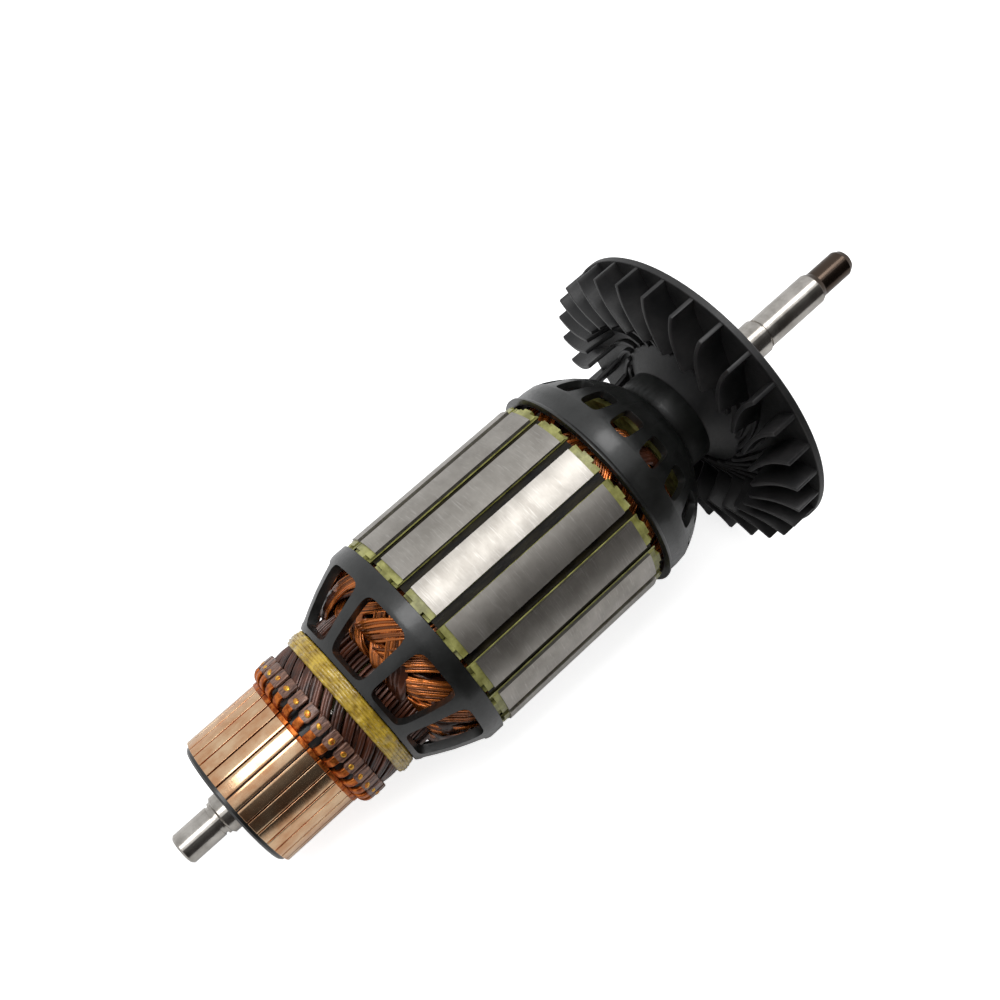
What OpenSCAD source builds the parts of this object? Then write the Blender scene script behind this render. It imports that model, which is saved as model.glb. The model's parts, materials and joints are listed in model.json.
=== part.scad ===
// Motor armature of a large angle grinder: shaft, insulated core with 16 slots,
// 16 wound coils, 32-bar commutator with riser hooks, moulded winding cages and
// a cooling fan. Every piece is drawn about its own shaft axis, with z = 0 at the
// middle of the core and +z towards the fan, and placed() then lays the whole
// armature down as it rests on a table: on its front cage and on two fan blades.
// Angles are counted about the shaft. "Front" is the commutator end.

/* [Shaft] */
// Radius of the front bearing journal
front_journal_r = 4; // [3.5:0.1:4.6]
// Length of the front bearing journal
front_journal_length = 9.5; // [8:0.5:11]
// Radius of the shaft between the journals
shaft_r = 5; // [4.8:0.1:5.4]
// Distance from the core's middle to the shaft's front end
front_shaft_end = 98.9; // [97:0.1:102]
// Radius of the rear bearing journal
rear_journal_r = 4.5; // [4.2:0.1:4.7]
// Length of the rear bearing journal
rear_journal_length = 19.4; // [17:0.1:22]
// Distance from the core's middle to the rear journal's groove
rear_groove_z = 90.4; // [86:0.1:94]
// Width of the relief groove beside each journal
groove_width = 0.9; // [0.6:0.1:1.2]
// Depth of the relief groove below its journal
groove_depth = 0.3; // [0.2:0.05:0.5]
// Radius of the drive spigot
spigot_r = 3.78; // [3.2:0.02:4]
// Length of the drive spigot
spigot_length = 12.1; // [10:0.1:14]
// Length of the cone between rear journal and drive spigot
spigot_cone = 1.6; // [1:0.1:2]

/* [Core] */
// Outer radius of the laminated core
core_r = 28.5; // [28.2:0.1:29]
// Length of the laminated core
core_length = 47.6; // [44:0.2:52]
// Half width of a slot's mouth
slot_mouth = 1.33; // [1.1:0.01:1.6]
// Depth of the tooth tip's lip at the mouth
tooth_lip = 0.9; // [0.6:0.1:1.2]
// Width of a tooth between two slots
tooth_width = 3.6; // [3.3:0.1:4]
// Depth of the slots below the core's surface
slot_depth = 12.2; // [12.1:0.1:12.6]
// Wall of the slot liner
liner_wall = 0.3; // [0.2:0.02:0.35]
// Length of slot liner that stands out of the core at each end
liner_cuff = 2.3; // [1.9:0.1:2.6]
// Wall of the insulating sleeve between shaft and core
sleeve_wall = 2; // [1.6:0.1:2.4]
// Reach of the sleeve's flange beyond the sleeve, behind the rear end turns
flange_reach = 11; // [8:0.5:11]
// Thickness of the sleeve's flange at its rim
flange_rim = 1.2; // [1:0.1:1.6]
// Length of the cone behind the sleeve's flange
flange_cone = 5.3; // [4:0.1:5.5]
// Thickness of the insulating end plates
end_plate = 1.6; // [1.4:0.1:2]
// Height of the block on each tooth of the end plates
end_block = 0.9; // [0.6:0.1:1.2]
// Width of the block on each tooth of the end plates
end_block_width = 3.2; // [2.8:0.1:3.6]
// Length of that block, inwards from the plate's rim
end_block_length = 5; // [4:0.1:6]

/* [Windings] */
// Width of a coil's end turns
coil_width = 2.6; // [2:0.1:2.7]
// Axial height of each layer of end turns
coil_layer = 1.8; // [1.5:0.05:1.85]
// Diameter of a riser lead
lead_d = 0.95; // [0.7:0.05:1]
// Number of bars that a riser lead slants past on its way to its hook
lead_skew = 3; // [2:1:3]
// Angle between a coil's two leads, in degrees about the shaft
lead_spacing = 3.8; // [3.4:0.1:4]

/* [Commutator] */
// Radius of the commutator's running track
track_r = 17.75; // [17.4:0.05:18]
// Length of the running track
track_length = 19.3; // [17:0.1:20]
// Distance from the core's middle to the front face of the bars
commutator_front = 82.7; // [81.7:0.1:83.7]
// Gap between neighbouring bars
bar_gap = 0.36; // [0.3:0.02:0.5]
// Depth by which the webs are undercut below the bars
undercut = 1.3; // [1.2:0.05:1.6]
// Radial thickness of the bars
bar_depth = 3.7; // [3:0.1:4]
// Radius over the riser hooks
hook_r = 20.2; // [19.9:0.05:20.4]
// Width of a hook's neck
hook_neck = 2.1; // [1.8:0.1:2.4]
// Width of a hook's flattened top
hook_width = 3.2; // [2.9:0.05:3.4]
// Length of a hook's flattened top
hook_length = 4.2; // [3.6:0.1:4.6]

/* [Cord band] */
// Outer radius of the cord band
band_r = 20.5; // [20.3:0.05:20.8]
// Diameter of the cord
cord_d = 0.9; // [0.8:0.05:1]
// Turns of cord in the band
cord_turns = 6; // [5:1:6]

/* [Front cage] */
// Number of ribs
front_ribs = 10; // [8:1:12]
// Width of a rib
front_rib_width = 2.6; // [2.2:0.1:3.2]
// Radial depth of the cage's wall
front_wall = 2.2; // [1.8:0.1:2.4]
// Length of the ring beside the core
front_ring_length = 4.6; // [3.6:0.1:5]
// Length of the windows along the shaft
front_window_length = 14.5; // [13.5:0.1:15.5]
// Width of the ring beside the cord band
front_collar_length = 1.2; // [1:0.1:1.6]
// Radius of the dome's curve along the shaft
front_dome = 59; // [40:1:90]
// Radius of the windows' corners
window_corner = 2; // [1:0.25:2.5]

/* [Rear cage] */
// Number of windows
rear_windows = 18; // [14:1:18]
// Width of a window
rear_window_width = 5.8; // [4.5:0.1:6]
// Length of a window along the shaft
rear_window_length = 7.4; // [6:0.1:8]
// Wall of the cage
rear_wall = 1.8; // [1.4:0.1:2]
// Outer radius of the collar at the fan
collar_r = 13.5; // [13:0.1:14.5]
// Length of the collar
collar_length = 6.8; // [5:0.1:8]
// Radius of the dome's curve along the shaft
rear_dome = 30; // [26:1:36]
// Length of the dome from hoop to collar
rear_dome_length = 16.7; // [16:0.1:18]
// Step of the hoop's lip beyond the hoop
hoop_lip = 0.7; // [0.3:0.1:1]
// Length of the hoop over the end turns
hoop_length = 6.7; // [6:0.1:7.2]

/* [Fan] */
// Number of blades
fan_blades = 29; // [23:2:31]
// Outer radius of the blades
blade_r = 41.8; // [40:0.1:43]
// Thickness of a blade
blade_wall = 1.1; // [0.8:0.1:1.4]
// Height of a blade at its outer corner
blade_height = 6.9; // [6:0.1:8]
// Radius at which a blade's tall part ends
blade_inner_r = 28.5; // [26:0.5:31]
// Lean of a blade at that radius, in degrees about the shaft
blade_sweep = 12.5; // [6:0.5:15]
// Rise of a blade's front edge from its corner to that radius
blade_rise = 2.5; // [1:0.1:3]
// Height of the low vanes that carry on down the hub
vane_height = 1.2; // [0.6:0.1:1.6]
// Thickness of the back plate
back_plate = 1.8; // [1.4:0.1:2.4]
// Step of the back plate's edge beyond the blades
back_plate_step = 0.3; // [0.1:0.1:0.6]

/* [Hidden] */
$fn = 96;
SLOTS = 16;
BARS = 2 * SLOTS;
PITCH = 360 / SLOTS;
BAR_PITCH = 360 / BARS;
COIL_SPAN = 7;
LAYERS = SLOTS / 2;
fit = 0.05;
chamfer = 0.5;
// Where the first slot, bar, rib, window and blade stand about the shaft
slot_angle = -2.5;
bar_angle = -2.9;
rib_angle = -2.5;
window_angle = 6;
blade_angle = -0.6;

core_half = core_length / 2;
sleeve_r = shaft_r + sleeve_wall;
front_journal_z = front_journal_length - front_shaft_end;
shoulder_length = 2;
shoulder_z = front_journal_z + shoulder_length;
rear_journal_z = rear_groove_z + groove_width;
spigot_z = rear_journal_z + rear_journal_length;
spigot_end = spigot_z + spigot_cone + spigot_length;
// The spigot's rounded end starts this far from its tip and drops in two steps
spigot_round = 2.6;
spigot_round_step = [0.75, 1.5];
spigot_tip_r = 1.4;

// Slots, and the zones that their fillings take between two radii
slot_top = core_r - tooth_lip;
slot_bottom_r = core_r - slot_depth;
tooth_slope = 1;
slot_corner = 0.7;
slot_corner_in = 0.5;
coil_gap = liner_wall + 2 * fit;
side_gap = 0.2;
bottom_side_depth = 2.7;
wedge_depth = 1.7;
wedge_recess = 0.5;
wedge_side = [slot_top - wedge_recess - wedge_depth, slot_top - wedge_recess];
bottom_side = [slot_bottom_r + slot_corner + side_gap,
               slot_bottom_r + slot_corner + side_gap + bottom_side_depth];
top_side = [bottom_side[1] + side_gap, wedge_side[0] - side_gap];
plate_r = core_r - 0.5;

// End turns, in layers outwards from the core
plate_end = core_half + end_plate + end_block;
liner_end = core_half + liner_cuff;
layer_z = max(plate_end, liner_end) + 0.4;
layer_gap = 0.1;
winding_end = layer_z + LAYERS * coil_layer;
bend_r = sleeve_r + coil_width / 2 + 0.7;
top_turn_r = top_side[0] + 0.4;
bottom_turn_r = bottom_side[0] + 1.1;
flange_z = winding_end + 0.9;
sleeve_end = flange_z + flange_rim + flange_cone;
sleeve_cone = 2.5;

commutator_z = -commutator_front;
hub_bore_r = shaft_r + fit;
hub_rim = 1.3;
track_end = commutator_z + track_length;
unturned_length = 1.1;
neck_z = track_end + unturned_length;
bar_inner_r = track_r - bar_depth;
unturned_step = 0.15;
hook_thickness = 0.95;
hook_base = 1.1;
hook_round = 0.35;
hook_bend = hook_r - track_r;
hook_top_z = neck_z + hook_bend;
hook_end = hook_top_z + hook_length;
web_gap = 0.03;
hub_end = hook_end + 1.2;
hub_end_r = bar_inner_r - fit - 2;

lead_r = hook_r - hook_thickness - lead_d / 2 - fit;
lead_cover_r = lead_r + lead_d / 2 + fit;

// Front cage, from the core towards the commutator
front_ring_end = -plate_end - 2 * fit;
front_ring_z = front_ring_end - front_ring_length;
ring_edge = 1.3;
front_window_z = front_ring_z - front_window_length;
front_collar_z = front_window_z - front_collar_length;
front_collar_r = lead_cover_r + 1.25;
cord_core_r = band_r - cord_d / 2;
cord_pitch = cord_d * 0.85;
band_length = cord_d + (cord_turns - 1) * cord_pitch;
band_z = front_collar_z - fit - band_length;

// Rear cage and fan, from the core towards the drive end
hoop_z = plate_end + 1.5;
hoop_end = hoop_z + hoop_length;
window_z = hoop_end + 0.5;
collar_z = hoop_end + rear_dome_length;
fan_z = collar_z + collar_length + fit;
blade_z = fan_z + 0.45;
back_plate_z = blade_z + blade_height;
back_plate_r = blade_r + back_plate_step;
vane_inner_r = collar_r + 5.5;

// Lean at which the front cage and two neighbouring blades touch the table
touch_z = front_ring_z + ring_edge;
tilt = atan((blade_r * cos(180 / fan_blades) - core_r) / (blade_z - touch_z));
// The gap between two blades that points straight down is the one nearest this direction
down_side = 155;
down_angle = blade_angle + (floor(down_side * fan_blades / 360) + 0.5) * 360 / fan_blades;
front_reach = front_shaft_end * cos(tilt) + (front_journal_r - chamfer) * sin(tilt);
rear_reach = spigot_end * cos(tilt) + spigot_tip_r * sin(tilt);
rest_lift = core_r * cos(tilt) - touch_z * sin(tilt);

// The two cages' outer curves, from p to q in distance from and along the shaft
front_dome_p = [front_collar_r, front_collar_z];
front_dome_q = [core_r - 0.3, front_ring_z];
rear_dome_p = [core_r - 0.3, hoop_end];
rear_dome_q = [collar_r, collar_z];
room_gap = 0.4;

// A slot's wall from the tooth tip down to the middle of its bottom
slot_side = [
    [slot_top, slot_mouth],
    [slot_top - tooth_slope, slot_half(slot_top - tooth_slope)],
    [slot_bottom_r + slot_corner, slot_half(slot_bottom_r + slot_corner)],
    [slot_bottom_r, slot_half(slot_bottom_r) - slot_corner_in]
];
slot_wall = concat(slot_side, mirrored(slot_side));

// The line of a blade seen along the shaft, curling in from the rim to the hub
blade_curl = 2.6;
blade_steps = 8;
blade_line = [for (i = [0:blade_steps])
    let (r = blade_r - (blade_r - vane_inner_r) * i / blade_steps)
    polar(r, blade_angle + blade_lean(r))];
// The hollow hub's face, from its neck out to the back plate
hub_neck_r = collar_r - 0.5;
hub_hollow = 20;
hub_face = arc_between([blade_inner_r, back_plate_z], [hub_neck_r, fan_z], hub_hollow, 6);
boss_r = collar_r - 4;
boss_length = 2;

steel = "#a8a49c";
dark_plastic = "#33332f";
fibre_green = "#9aa55e";
varnished_copper = "#a5521f";
bar_copper = "#d9a97a";
cord_yellow = "#b5a23c";
fan_black = "#2a2a2a";

function two_digits(i) = i < 10 ? str("0", i) : str(i);
BAR_NODES = [for (i = [1:BARS]) str("commutator_bar_", two_digits(i))];
COIL_NODES = [for (i = [1:SLOTS]) str("coil_", two_digits(i))];

function polar(r, a) = [r * cos(a), r * sin(a)];
function unit(v) = v / norm(v);
function left_of(v) = [-v[1], v[0]];
// The corner b of a path a-b-c, moved sideways by d to the path's left
function shifted_corner(a, b, c, d) =
    let (n1 = left_of(unit(b - a)), n2 = left_of(unit(c - b)))
    b + (n1 + n2) * d / (1 + n1 * n2);
function shifted(path, d) = [for (i = [0:len(path) - 1])
    let (last = len(path) - 1,
         before = i == 0 ? 2 * path[0] - path[1] : path[i - 1],
         after = i == last ? 2 * path[last] - path[last - 1] : path[i + 1])
    shifted_corner(before, path[i], after, d)];
function reversed(list) = [for (i = [len(list) - 1:-1:0]) list[i]];
function mirrored(path) = [for (p = reversed(path)) [p[0], -p[1]]];
// A closed band of the given width along a path
function strip(path, width) = concat(shifted(path, width / 2), reversed(shifted(path, -width / 2)));

// An arc of radius r from p to q, with its centre on the left of that way
function arc_centre(p, q, r) = (p + q) / 2 + left_of(unit(q - p)) * sqrt(r * r - pow(norm(q - p) / 2, 2));
function arc_between(p, q, r, steps) =
    let (c = arc_centre(p, q, r),
         from = atan2(p[1] - c[1], p[0] - c[0]),
         to = atan2(q[1] - c[1], q[0] - c[0]))
    [for (i = [0:steps]) c + polar(r, from + (to - from) * i / steps)];
// How far out the arc lies at height z
function arc_r(p, q, r, z) = let (c = arc_centre(p, q, r)) c[0] + sqrt(r * r - pow(z - c[1], 2));

// Half width of a slot at radius r, beside a tooth with parallel sides
function slot_half(r) = (r * sin(PITCH / 2) - tooth_width / 2) / cos(PITCH / 2);
// How far a blade leans from its root line at radius r, in degrees about the shaft
function blade_lean(r) = blade_sweep * pow((blade_r - r) / (blade_r - blade_inner_r), blade_curl);
// Outer radius left for the end turns inside both cages, at distance z from the core's middle
function room_r(z) = min(
    top_side[1],
    arc_r(front_dome_p, front_dome_q, front_dome, min(-z, front_ring_z)) - front_wall - room_gap,
    arc_r(rear_dome_p, rear_dome_q, rear_dome, max(z, hoop_end)) - rear_wall - room_gap);

module placed() {
    translate([(front_reach - rear_reach) / 2, 0, rest_lift])
        rotate([0, 90 - tilt, 0])
            rotate([0, 0, -down_angle])
                children();
}

module slot_outline() {
    polygon(concat([[core_r + 1, slot_mouth]], slot_wall, [[core_r + 1, -slot_mouth]]));
}

module around_slots() {
    for (s = [0:SLOTS - 1])
        rotate([0, 0, slot_angle + s * PITCH])
            children();
}

module shaft() {
    color(steel)
        rotate_extrude()
            polygon([
                [0, -front_shaft_end],
                [front_journal_r - chamfer, -front_shaft_end],
                [front_journal_r, chamfer - front_shaft_end],
                [front_journal_r, front_journal_z],
                [front_journal_r - groove_depth, front_journal_z],
                [front_journal_r - groove_depth, front_journal_z + groove_width],
                [front_journal_r + groove_depth, front_journal_z + groove_width],
                [front_journal_r + groove_depth, shoulder_z - chamfer],
                [shaft_r, shoulder_z],
                [shaft_r, rear_groove_z],
                [rear_journal_r - groove_depth, rear_groove_z],
                [rear_journal_r - groove_depth, rear_journal_z],
                [rear_journal_r, rear_journal_z],
                [rear_journal_r, spigot_z],
                [spigot_r, spigot_z + spigot_cone],
                [spigot_r, spigot_end - spigot_round],
                [spigot_r - spigot_round_step[0], spigot_end - spigot_round + spigot_round_step[1]],
                [spigot_tip_r, spigot_end],
                [0, spigot_end]
            ]);
}

module shaft_sleeve() {
    sleeve_start = hub_end + 0.8;
    flange_r = sleeve_r + flange_reach;
    color(fibre_green)
        rotate_extrude()
            polygon([
                [shaft_r, sleeve_start],
                [sleeve_r, sleeve_start],
                [sleeve_r, flange_z],
                [flange_r, flange_z],
                [flange_r, flange_z + flange_rim],
                [sleeve_r + sleeve_cone, sleeve_end],
                [shaft_r, sleeve_end]
            ]);
}

module core() {
    color(steel)
        difference() {
            translate([0, 0, -core_half])
                cylinder(r = core_r, h = core_length);
            translate([0, 0, -core_half - 1])
                cylinder(r = sleeve_r, h = core_length + 2);
            translate([0, 0, -core_half - 1])
                around_slots()
                    linear_extrude(core_length + 2)
                        slot_outline();
        }
}

// One insulating end plate, with its blocks standing up in +z
module end_plate_shape() {
    rim_step = 0.1;
    difference() {
        union() {
            cylinder(r = plate_r, h = end_plate);
            for (s = [0:SLOTS - 1])
                rotate([0, 0, slot_angle + (s + 0.5) * PITCH])
                    translate([plate_r - end_block_length, -end_block_width / 2, 0])
                        cube([end_block_length - rim_step, end_block_width, end_plate + end_block]);
        }
        translate([0, 0, -1])
            cylinder(r = sleeve_r, h = end_plate + 2);
        translate([0, 0, -1])
            around_slots()
                linear_extrude(end_plate + end_block + 2)
                    slot_outline();
    }
}

module rear_end_plate() {
    color(fibre_green)
        translate([0, 0, core_half])
            end_plate_shape();
}

module front_end_plate() {
    color(fibre_green)
        mirror([0, 0, 1])
            translate([0, 0, core_half])
                end_plate_shape();
}

module slot_liners() {
    color(fibre_green)
        translate([0, 0, -liner_end])
            around_slots()
                linear_extrude(2 * liner_end)
                    polygon(concat(shifted(slot_wall, fit), reversed(shifted(slot_wall, fit + liner_wall))));
}

module slot_wedges() {
    wedge_end = core_half + end_plate;
    half_width = slot_half(wedge_side[0]) - coil_gap;
    lip_slope = tooth_slope / (slot_side[1][1] - slot_mouth);
    corner_r = wedge_side[1] - (half_width - slot_mouth) * lip_slope;
    color(dark_plastic)
        translate([0, 0, -wedge_end])
            around_slots()
                linear_extrude(2 * wedge_end)
                    polygon([
                        [wedge_side[0], -half_width],
                        [wedge_side[0], half_width],
                        [corner_r, half_width],
                        [wedge_side[1], slot_mouth],
                        [wedge_side[1], -slot_mouth],
                        [corner_r, -half_width]
                    ]);
}

// The section of a coil's side between two radii, with room beside it in the slot
module side_section(inner, outer, room) {
    polygon([for (p = [[inner, -1], [inner, 1], [outer, 1], [outer, -1]])
        [p[0], p[1] * (slot_half(p[0]) - room)]]);
}

module coil_side(radii) {
    slot_end = layer_z - side_gap;
    translate([0, 0, -slot_end])
        linear_extrude(2 * slot_end)
            side_section(radii[0], radii[1], coil_gap);
}

// The stretch of a coil's side that stands out of the core, up to the coil's own layer.
// It starts inside the side and is a little thinner, so that no faces of the two coincide.
module coil_leg(side, is_top, layer) {
    start = layer_z - 1;
    reach = layer_z + (layer + 1) * coil_layer - layer_gap - fit;
    outer = is_top ? room_r(reach) : side[1];
    for (end = [0, 1])
        mirror([0, 0, end])
            translate([0, 0, start])
                linear_extrude(reach - start)
                    side_section(side[0] + fit, outer - fit, coil_gap + fit);
}

// Coil k runs in slots k and k + COIL_SPAN; coils k and k + 8 share one layer
module coil(k) {
    layer = k % LAYERS;
    is_top = [layer == LAYERS - 1, layer > 0];
    sides = [for (t = is_top) t ? top_side : bottom_side];
    turn_r = [for (t = is_top) t ? top_turn_r : bottom_turn_r];
    span = COIL_SPAN * PITCH;
    turn_path = [polar(turn_r[0], 0), polar(bend_r, span / 2), polar(turn_r[1], span)];
    turn_z = layer_z + layer * coil_layer;
    color(varnished_copper)
        rotate([0, 0, slot_angle + k * PITCH]) {
            for (i = [0, 1])
                rotate([0, 0, i * span]) {
                    coil_side(sides[i]);
                    coil_leg(sides[i], is_top[i], layer);
                }
            for (end = [0, 1])
                mirror([0, 0, end])
                    translate([0, 0, turn_z])
                        linear_extrude(coil_layer - layer_gap)
                            polygon(strip(turn_path, coil_width));
            coil_leads(-turn_z - coil_layer / 2);
        }
}

// Two riser leads: out of the end turns, along the shaft between the coil legs,
// then at a slant under the cord band to two neighbouring hooks
module coil_leads(turn_z) {
    bend_z = front_window_z + 0.3;
    hook_z = hook_top_z + 1;
    leg_angle = 2;
    first_hook = bar_angle - slot_angle + lead_skew * BAR_PITCH;
    for (i = [0, 1]) {
        channel = BAR_PITCH + (i - 0.5) * lead_spacing;
        hook = first_hook + i * BAR_PITCH;
        rod(concat(polar(lead_r, leg_angle), turn_z), concat(polar(lead_r, channel), turn_z));
        rod(concat(polar(lead_r, channel), turn_z), concat(polar(lead_r, channel), bend_z));
        rod(concat(polar(lead_r, channel), bend_z), concat(polar(lead_r, hook), hook_z));
    }
}

// A lead's straight stretch from a to b, long enough at its ends to join the next
module rod(a, b) {
    d = b - a;
    overlap = lead_d * 0.3;
    translate(a)
        rotate([0, acos(d[2] / norm(d)), atan2(d[1], d[0])])
            translate([0, 0, -overlap])
                cylinder(d = lead_d, h = norm(d) + 2 * overlap, $fn = 8);
}

module commutator_hub() {
    hub_front = commutator_z - hub_rim;
    body_r = bar_inner_r - fit;
    web_r = track_r - undercut;
    web_width = bar_gap - 2 * web_gap;
    web_lap = 0.5;
    rim_r = web_r + 0.3;
    tail_r = track_r - hook_base - 2 * fit;
    color(dark_plastic) {
        rotate_extrude()
            polygon([
                [hub_bore_r, hub_front],
                [rim_r - chamfer, hub_front],
                [rim_r, hub_front + chamfer],
                [rim_r, commutator_z - fit],
                [body_r, commutator_z - fit],
                [body_r, neck_z + fit],
                [tail_r, neck_z + fit],
                [tail_r, hook_end],
                [hub_end_r, hub_end],
                [hub_bore_r, hub_end]
            ]);
        for (i = [0:BARS - 1])
            rotate([0, 0, bar_angle + (i + 0.5) * BAR_PITCH])
                translate([body_r - web_lap, -web_width / 2, commutator_z - web_lap])
                    cube([web_r - body_r + web_lap, web_width, neck_z - commutator_z + 2 * web_lap]);
    }
}

// A bar's cross-section between two radii, with a parallel gap to each neighbour
module bar_section(inner, outer) {
    intersection() {
        difference() {
            circle(r = outer);
            circle(r = inner);
        }
        polygon([
            [bar_gap / 2 / sin(BAR_PITCH / 2), 0],
            [2 * outer, 2 * outer * tan(BAR_PITCH / 2) - bar_gap / 2 / cos(BAR_PITCH / 2)],
            [2 * outer, -2 * outer * tan(BAR_PITCH / 2) + bar_gap / 2 / cos(BAR_PITCH / 2)]
        ]);
    }
}

// A side view, given as distance from against distance along the shaft, made width wide
module side_view(points, width) {
    translate([0, width / 2, 0])
        rotate([90, 0, 0])
            linear_extrude(width)
                polygon(points);
}

// A quarter bend of the hook's neck, of the given radius
function neck_bend(r) = [for (a = [0:22.5:90]) [track_r + r * sin(a), hook_top_z - r * cos(a)]];

module commutator_bar(i) {
    inner_bend = hook_bend - hook_thickness;
    under_r = hook_r - hook_thickness;
    top_lap = 0.6;
    color(bar_copper)
        rotate([0, 0, bar_angle + i * BAR_PITCH]) {
            translate([0, 0, commutator_z])
                linear_extrude(track_length)
                    bar_section(bar_inner_r, track_r);
            translate([0, 0, track_end])
                linear_extrude(unturned_length)
                    bar_section(bar_inner_r, track_r + unturned_step);
            side_view(
                concat(
                    [[track_r - hook_base, neck_z - 0.2], [track_r, neck_z - 0.2]],
                    neck_bend(hook_bend),
                    reversed(neck_bend(inner_bend)),
                    [[track_r - hook_base, hook_top_z - inner_bend]]),
                hook_neck);
            side_view(
                [[under_r, hook_top_z - top_lap],
                 [hook_r - hook_round, hook_top_z - top_lap],
                 [hook_r, hook_top_z + 0.1],
                 [hook_r, hook_end - top_lap],
                 [hook_r - hook_round, hook_end],
                 [under_r, hook_end]],
                hook_width);
        }
}

module lead_band() {
    color(cord_yellow)
        rotate_extrude() {
            for (i = [0:cord_turns - 1])
                translate([cord_core_r, band_z + cord_d / 2 + i * cord_pitch])
                    circle(d = cord_d, $fn = 32);
            translate([lead_cover_r, band_z + cord_d / 2])
                square([cord_core_r - lead_cover_r, band_length - cord_d]);
        }
}

// The rounded corner between a rib and a ring, seen square to the rib
module rib_corner(inner, outer) {
    r = window_corner;
    edge = front_rib_width / 2;
    translate([inner, edge, 0])
        rotate([90, 0, 90])
            linear_extrude(outer - inner)
                polygon(concat(
                    [[-0.5, -0.5], [r, -0.5]],
                    [for (a = [0:22.5:90]) [r - r * sin(a), r - r * cos(a)]],
                    [[-0.5, r]]));
}

module front_rib() {
    lap = 0.6;
    inner_p = [lead_cover_r, front_window_z];
    inner_q = [core_r - front_wall, front_ring_z];
    side_view(
        concat(
            [[lead_cover_r + lap, front_collar_z + lap]],
            arc_between(front_dome_p, front_dome_q, front_dome, 6),
            [front_dome_q + [0, lap], inner_q + [0.3, lap]],
            reversed(arc_between(inner_p, inner_q, front_dome, 6))),
        front_rib_width);
    for (side = [0, 1])
        mirror([0, side, 0]) {
            translate([0, 0, front_window_z])
                rib_corner(lead_cover_r + 0.4, front_collar_r + 0.5);
            translate([0, 0, front_ring_z])
                mirror([0, 0, 1])
                    rib_corner(core_r - front_wall + 0.1, core_r - 1.1);
        }
}

module front_cage() {
    window_r = arc_r(front_dome_p, front_dome_q, front_dome, front_window_z);
    color(dark_plastic) {
        rotate_extrude() {
            polygon([
                [lead_cover_r, front_collar_z],
                front_dome_p,
                [window_r, front_window_z],
                [lead_cover_r, front_window_z]
            ]);
            polygon([
                front_dome_q,
                [core_r, touch_z],
                [core_r, front_ring_end],
                [core_r - front_wall, front_ring_end],
                [core_r - front_wall, front_ring_z]
            ]);
        }
        for (i = [0:front_ribs - 1])
            rotate([0, 0, rib_angle + i * 360 / front_ribs])
                front_rib();
    }
}

module rear_window() {
    r = window_corner * 0.75;
    translate([collar_r + 4, -rear_window_width / 2, window_z])
        rotate([90, 0, 90])
            linear_extrude(core_r - collar_r) {
                translate([r, 0])
                    square([rear_window_width - 2 * r, rear_window_length]);
                translate([0, r])
                    square([rear_window_width, rear_window_length - 2 * r]);
                for (x = [r, rear_window_width - r], y = [r, rear_window_length - r])
                    translate([x, y])
                        circle(r);
            }
}

module rear_cage() {
    lip_length = 0.5;
    inner_p = [core_r - rear_wall - 0.2, hoop_end];
    inner_q = [collar_r, collar_z - rear_wall - 0.6];
    color(dark_plastic)
        difference() {
            rotate_extrude()
                polygon(concat(
                    [[core_r - rear_wall, hoop_z],
                     [core_r + hoop_lip, hoop_z],
                     [core_r + hoop_lip, hoop_z + lip_length],
                     [core_r, hoop_z + 2 * lip_length]],
                    arc_between(rear_dome_p, rear_dome_q, rear_dome, 6),
                    [[collar_r, collar_z + collar_length],
                     [shaft_r + fit, collar_z + collar_length],
                     [shaft_r + fit, inner_q[1]]],
                    reversed(arc_between(inner_p, inner_q, rear_dome - rear_wall, 6))));
            for (i = [0:rear_windows - 1])
                rotate([0, 0, window_angle + i * 360 / rear_windows])
                    rear_window();
        }
}

module fan() {
    fan_end = back_plate_z + back_plate;
    plate_edge = 0.3;
    lap = 0.5;
    color(fan_black) {
        rotate_extrude()
            polygon(concat(
                [[shaft_r + fit, fan_end + boss_length],
                 [boss_r, fan_end + boss_length],
                 [boss_r, fan_end],
                 [back_plate_r - plate_edge, fan_end],
                 [back_plate_r, fan_end - plate_edge],
                 [back_plate_r, back_plate_z]],
                hub_face,
                [[shaft_r + fit, fan_z]]));
        intersection() {
            translate([0, 0, blade_z - blade_rise - lap])
                linear_extrude(blade_height + blade_rise + 3 * lap)
                    for (i = [0:fan_blades - 1])
                        rotate([0, 0, i * 360 / fan_blades])
                            polygon(strip(blade_line, blade_wall));
            rotate_extrude()
                polygon(concat(
                    [[blade_r, back_plate_z + lap],
                     [blade_r, blade_z],
                     [blade_inner_r, blade_z - blade_rise],
                     [blade_inner_r, back_plate_z - vane_height]],
                    [for (p = hub_face) p - [0, vane_height]],
                    [[hub_neck_r, back_plate_z + lap]]));
        }
    }
}

placed() shaft();
placed() shaft_sleeve();
placed() core();
placed() front_end_plate();
placed() rear_end_plate();
placed() slot_liners();
placed() slot_wedges();
placed() commutator_hub();
placed() lead_band();
placed() front_cage();
placed() rear_cage();
placed() fan();
for (i = [0:BARS - 1])
    placed() commutator_bar(i);
for (k = [0:SLOTS - 1])
    placed() coil(k);
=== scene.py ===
"""Looks of a motor armature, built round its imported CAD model.

Pieces are modelled in millimetres about the armature's own shaft, which runs along Z with
z = 0 at the middle of the core and z growing towards the fan. LAID puts a finished mesh
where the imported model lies, in metres. Angles count about the shaft, in degrees.
"""

import json
import math
import random

import bmesh
import bpy
from mathutils import Matrix, Vector, noise


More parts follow.
